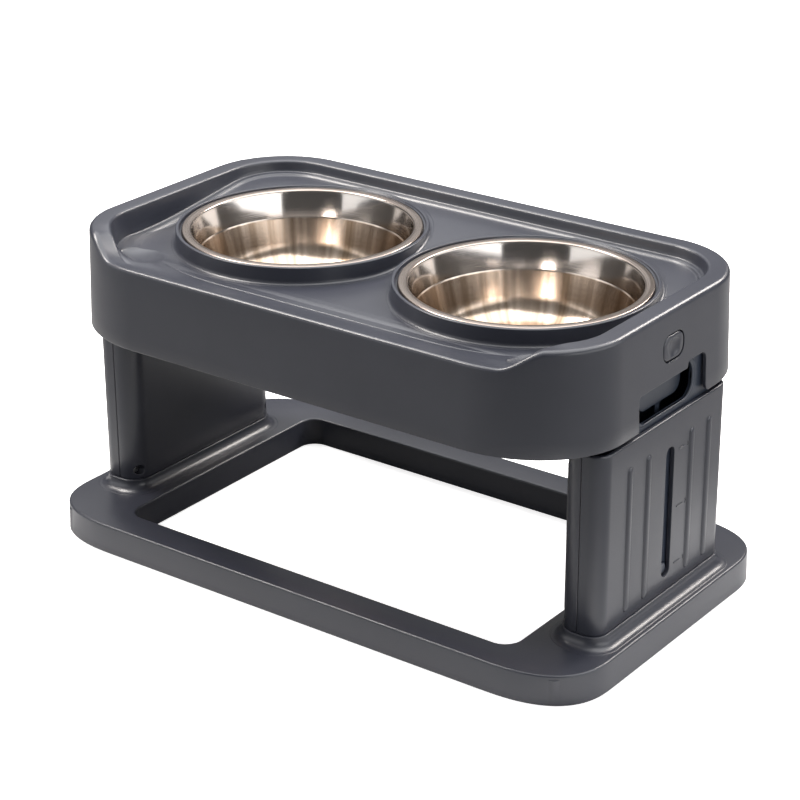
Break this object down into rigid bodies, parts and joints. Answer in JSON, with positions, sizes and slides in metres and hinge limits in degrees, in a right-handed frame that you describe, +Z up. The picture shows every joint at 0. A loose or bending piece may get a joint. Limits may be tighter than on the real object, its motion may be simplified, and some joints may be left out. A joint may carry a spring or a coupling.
{
  "type": "raised pet bowl",
  "caption": "Raised pet feeder: tray with drop-in steel bowls that slides up and down on two hollow legs over an open ring base.",
  "frame": {"origin": "on the ground, under the middle of the base", "axes": "+X to the tray's right end, -Y to the tray's low front rim, +Z up"},
  "size_m": [0.494, 0.2844, 0.2517],
  "materials": {
    "plastic": "satin",
    "inner_plastic": "satin",
    "steel": "polished inside, satin rim",
    "fastener_steel": "zinc plated",
    "rubber": "matte"
  },
  "bodies": {
    "stand": {"base_frame": "plastic", "foot_pad_front_left": "rubber", "foot_pad_back_left": "rubber", "foot_pad_front_right": "rubber", "foot_pad_back_right": "rubber", "leg_left_outer_shell": "plastic", "leg_left_inner_shell": "plastic", "leg_right_outer_shell": "plastic", "leg_right_inner_shell": "plastic", "screw_leg_left_front_low": "fastener_steel", "screw_leg_left_front_high": "fastener_steel", "screw_leg_left_back_low": "fastener_steel", "screw_leg_left_back_high": "fastener_steel", "screw_leg_right_front_low": "fastener_steel", "screw_leg_right_front_high": "fastener_steel", "screw_leg_right_back_low": "fastener_steel", "screw_leg_right_back_high": "fastener_steel", "screw_base_left_front": "fastener_steel", "screw_base_left_back": "fastener_steel", "screw_base_right_front": "fastener_steel", "screw_base_right_back": "fastener_steel"},
    "lift": {"tray": "plastic", "inner_leg_left": "inner_plastic", "inner_leg_right": "inner_plastic", "screw_tray_left_front": "fastener_steel", "screw_tray_left_back": "fastener_steel", "screw_tray_right_front": "fastener_steel", "screw_tray_right_back": "fastener_steel", "spring_left": "fastener_steel", "spring_right": "fastener_steel"},
    "lock_left": {"lock_bar_left": "inner_plastic", "lock_pin_left": "inner_plastic"},
    "press_left": {"button_left": "plastic"},
    "food_left": {"bowl_left": "steel"},
    "lock_right": {"lock_bar_right": "inner_plastic", "lock_pin_right": "inner_plastic"},
    "press_right": {"button_right": "plastic"},
    "food_right": {"bowl_right": "steel"}
  },
  "joints": [
    {"name": "tray_lift", "type": "slide", "parent": "stand", "child": "lift", "axis": [0, 0, 1], "range_m": [0, 0.0906]},
    {"name": "lock_left_slide", "type": "slide", "parent": "lift", "child": "lock_left", "axis": [1, 0, 0], "range_m": [0, 0.003], "stiffness_N_per_m": 500, "springref_m": -0.004, "deforming": ["spring_left"]},
    {"name": "button_left_press", "type": "slide", "parent": "lift", "child": "press_left", "axis": [1, 0, 0], "range_m": [0, 0.003]},
    {"name": "bowl_left_lift", "type": "slide", "parent": "lift", "child": "food_left", "axis": [0, 0, 1], "range_m": [0, 0.12]},
    {"name": "lock_right_slide", "type": "slide", "parent": "lift", "child": "lock_right", "axis": [-1, 0, 0], "range_m": [0, 0.003], "stiffness_N_per_m": 500, "springref_m": -0.004, "deforming": ["spring_right"]},
    {"name": "button_right_press", "type": "slide", "parent": "lift", "child": "press_right", "axis": [-1, 0, 0], "range_m": [0, 0.003]},
    {"name": "bowl_right_lift", "type": "slide", "parent": "lift", "child": "food_right", "axis": [0, 0, 1], "range_m": [0, 0.12]}
  ],
  "couplings": [
    {"joint": "button_left_press", "follows": "lock_left_slide", "ratio": 1},
    {"joint": "button_right_press", "follows": "lock_right_slide", "ratio": 1}
  ]
}
